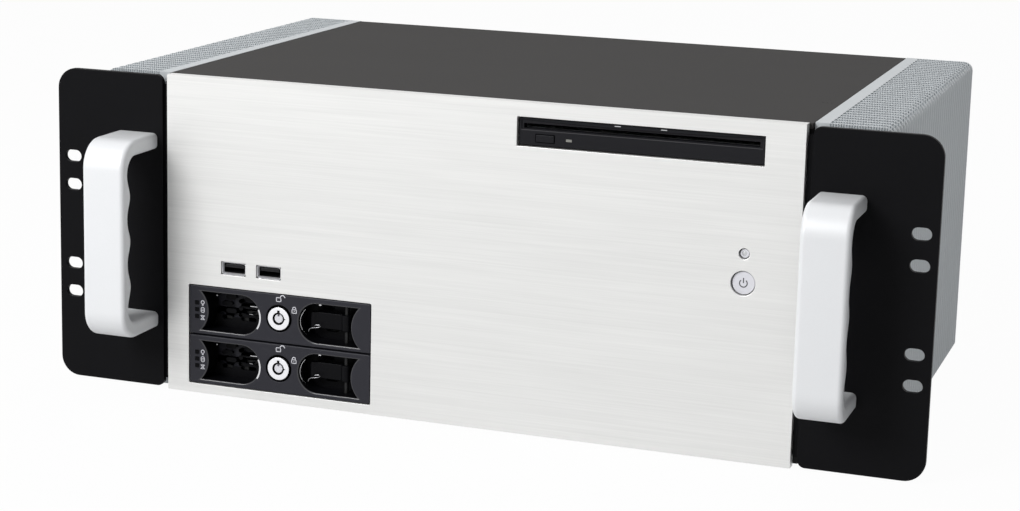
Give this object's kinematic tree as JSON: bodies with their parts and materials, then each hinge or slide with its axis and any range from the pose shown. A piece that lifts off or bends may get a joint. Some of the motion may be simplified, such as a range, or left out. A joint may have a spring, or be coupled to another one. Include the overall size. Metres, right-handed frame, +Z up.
{
  "type": "rack-mount nas enclosure",
  "caption": "Fanless rack-mount storage server enclosure with finned side walls, lockable drive trays, slot-loading disc drive and rack ears with bow handles.",
  "frame": {"origin": "middle of the footprint on the surface the enclosure rests on; the footprint includes the handles in front", "axes": "+Z up, the front panel faces -Y, +X to the right seen from the front"},
  "size_m": [0.4826, 0.3096, 0.175],
  "materials": {
    "panel_aluminium": "brushed along its length, satin, clear",
    "ear_black": "smooth black powder coat, satin",
    "handle_satin": "bead-blasted, pale satin",
    "screw_zinc": "zinc plated",
    "frame_black": "matt black powder coat",
    "fin_aluminium": "extruded, satin anodised",
    "cover_charcoal": "fine-textured charcoal powder coat, matt",
    "slot_steel": "plain sheet, galvanised",
    "button_metal": "satin",
    "circuit_board": "solder-resist green, semi-gloss",
    "switch_metal": "stamped",
    "port_metal": "nickel plated",
    "black_plastic": "moulded, matt",
    "odd_plastic": "moulded, fine satin",
    "odd_lens": "clear lens",
    "tray_plastic": "moulded, fine satin, bluish charcoal",
    "lens_dark": "smoked lens",
    "rail_metal": "plain",
    "drive_metal": "cast and machined",
    "lock_chrome": "polished nickel",
    "latch_plastic": "moulded, satin",
    "pin_steel": "drawn",
    "spacer_brass": "turned",
    "copper": "bare copper, drawn and milled",
    "clamp_aluminium": "milled",
    "psu_metal": "black sheet metal"
  },
  "bodies": {
    "chassis": {"front_panel": "panel_aluminium", "ear_left": "ear_black", "ear_right": "ear_black", "handle_left": "handle_satin", "handle_right": "handle_satin", "ear_screws": "screw_zinc", "panel_studs": "screw_zinc", "front_frame": "frame_black", "heatsink_left": "fin_aluminium", "heatsink_right": "fin_aluminium", "side_screws": "screw_zinc", "top_cover": "cover_charcoal", "cover_screws": "screw_zinc", "base_pan": "frame_black", "rear_panel": "frame_black", "slot_cover": "slot_steel", "switch_board": "circuit_board", "switches": "switch_metal", "usb_shells": "port_metal", "usb_tongues": "black_plastic", "usb_board": "circuit_board", "usb_brackets": "slot_steel", "odd_bezel": "odd_plastic", "odd_light": "odd_lens", "odd_case": "slot_steel", "odd_bracket": "frame_black", "drive_cage": "slot_steel", "backplane": "circuit_board", "motherboard": "circuit_board", "board_sockets": "black_plastic", "memory": "circuit_board", "rear_ports": "port_metal", "io_shield": "slot_steel", "standoffs": "spacer_brass", "cpu_block": "copper", "heat_pipes": "copper", "pipe_clamp": "clamp_aluminium", "psu_case": "psu_metal", "psu_shelf": "frame_black", "power_inlet": "black_plastic"},
    "power_button": {"power_button": "button_metal"},
    "reset_button": {"reset_button": "button_metal"},
    "odd_eject": {"odd_eject": "odd_plastic"},
    "tray_upper": {"tray_upper_front": "tray_plastic", "tray_upper_lights": "lens_dark", "tray_upper_rails": "rail_metal", "drive_upper": "drive_metal", "lock_upper_body": "lock_chrome", "latch_upper_pin": "pin_steel"},
    "lock_upper": {"lock_upper_core": "lock_chrome"},
    "latch_upper": {"latch_upper": "latch_plastic"},
    "tray_lower": {"tray_lower_front": "tray_plastic", "tray_lower_lights": "lens_dark", "tray_lower_rails": "rail_metal", "drive_lower": "drive_metal", "lock_lower_body": "lock_chrome", "latch_lower_pin": "pin_steel"},
    "lock_lower": {"lock_lower_core": "lock_chrome"},
    "latch_lower": {"latch_lower": "latch_plastic"},
    "power_rocker": {"power_rocker": "black_plastic"}
  },
  "joints": [
    {"name": "tray_upper_slide", "type": "slide", "parent": "chassis", "child": "tray_upper", "axis": [0, -1, 0], "range_m": [0, 0.15]},
    {"name": "lock_upper_turn", "type": "hinge", "parent": "tray_upper", "child": "lock_upper", "pos_m": [-0.10765, -0.11695, 0.0469], "axis": [0, -1, 0], "range_deg": [0, 90]},
    {"name": "latch_upper_swing", "type": "hinge", "parent": "tray_upper", "child": "latch_upper", "pos_m": [-0.07065, -0.10995, 0.0469], "axis": [0, 0, 1], "range_deg": [0, 55]},
    {"name": "tray_lower_slide", "type": "slide", "parent": "chassis", "child": "tray_lower", "axis": [0, -1, 0], "range_m": [0, 0.15]},
    {"name": "lock_lower_turn", "type": "hinge", "parent": "tray_lower", "child": "lock_lower", "pos_m": [-0.10765, -0.11695, 0.0191], "axis": [0, -1, 0], "range_deg": [0, 90]},
    {"name": "latch_lower_swing", "type": "hinge", "parent": "tray_lower", "child": "latch_lower", "pos_m": [-0.07065, -0.10995, 0.0191], "axis": [0, 0, 1], "range_deg": [0, 55]},
    {"name": "power_button_press", "type": "slide", "parent": "chassis", "child": "power_button", "axis": [0, 1, 0], "range_m": [0, 0.0012], "stiffness_N_per_m": 800, "springref_m": -0.001},
    {"name": "reset_button_press", "type": "slide", "parent": "chassis", "child": "reset_button", "axis": [0, 1, 0], "range_m": [0, 0.0008], "stiffness_N_per_m": 800, "springref_m": -0.001},
    {"name": "odd_eject_press", "type": "slide", "parent": "chassis", "child": "odd_eject", "axis": [0, 1, 0], "range_m": [0, 0.0006], "stiffness_N_per_m": 600, "springref_m": -0.001},
    {"name": "power_rocker_tip", "type": "hinge", "parent": "chassis", "child": "power_rocker", "pos_m": [-0.1215, 0.14675, 0.13205], "axis": [-1, 0, 0], "range_deg": [0, 20]}
  ]
}
